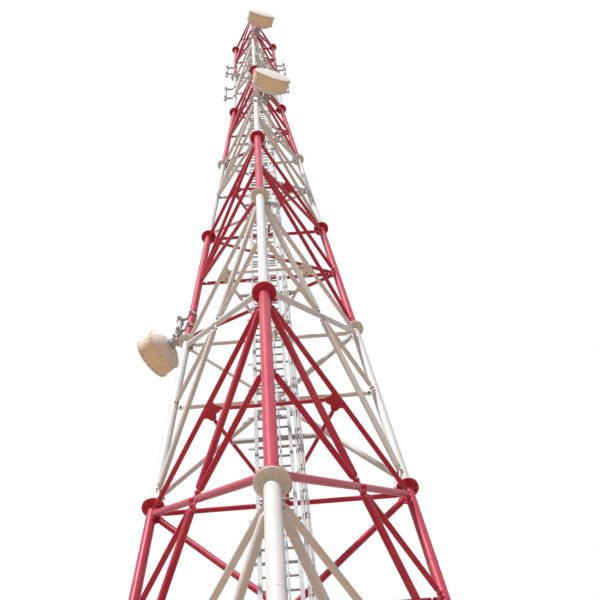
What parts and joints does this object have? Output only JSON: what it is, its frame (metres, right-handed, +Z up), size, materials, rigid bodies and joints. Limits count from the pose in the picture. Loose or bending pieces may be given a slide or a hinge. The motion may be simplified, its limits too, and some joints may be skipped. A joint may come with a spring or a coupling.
{
  "type": "radio mast, scale model at 1:2",
  "caption": "Three-legged tubular lattice mast in red and white bands, with flanged legs, crossed and zigzag bracing, ladders, drum antennas and antenna poles, at half size.",
  "frame": {"origin": "centre of the underside of the front leg's base plate", "axes": "+Z up the mast, -Y out from the mast past the front leg, +X towards the right leg's side"},
  "size_m": [3.4662, 3.0019, 27.7],
  "materials": {
    "red_paint": "semi-gloss signal red paint, slightly faded",
    "white_paint": "semi-gloss white paint, slightly yellowed",
    "galvanised": "dull hot-dip zinc",
    "cable_jacket": "matt light grey polyethylene",
    "shroud_paint": "satin cream paint",
    "radome": "matt white laminate"
  },
  "bodies": {
    "root": {"feet": "red_paint", "leg_pipes_1": "red_paint", "leg_pipes_2": "white_paint", "leg_pipes_3": "red_paint", "leg_pipes_4": "white_paint", "leg_pipes_5": "red_paint", "leg_pipes_6": "white_paint", "leg_pipes_7": "red_paint", "leg_pipes_8": "white_paint", "leg_pipes_9": "red_paint", "side_bracing_1": "red_paint", "side_bracing_2": "white_paint", "side_bracing_3": "red_paint", "side_bracing_4": "white_paint", "side_bracing_5": "red_paint", "side_bracing_6": "white_paint", "side_bracing_7": "red_paint", "side_bracing_8": "white_paint", "side_bracing_9": "red_paint", "level_frame_1": "red_paint", "level_frame_2": "white_paint", "level_frame_3": "red_paint", "level_frame_4": "white_paint", "level_frame_5": "red_paint", "level_frame_6": "white_paint", "level_frame_7": "red_paint", "level_frame_8": "white_paint", "level_frame_9": "red_paint", "climbing_ladder": "galvanised", "cable_ladder": "galvanised", "feeder_cables": "cable_jacket", "top_antenna_drum": "shroud_paint", "top_antenna_radome": "radome", "top_antenna_mount": "galvanised", "middle_antenna_drum": "shroud_paint", "middle_antenna_radome": "radome", "middle_antenna_mount": "galvanised", "low_antenna_drum": "shroud_paint", "low_antenna_radome": "radome", "low_antenna_mount": "galvanised", "upper_left_pole": "galvanised", "lower_left_pole": "galvanised", "upper_right_pole": "galvanised", "lower_right_pole": "galvanised", "lightning_rod": "galvanised"}
  },
  "joints": []
}
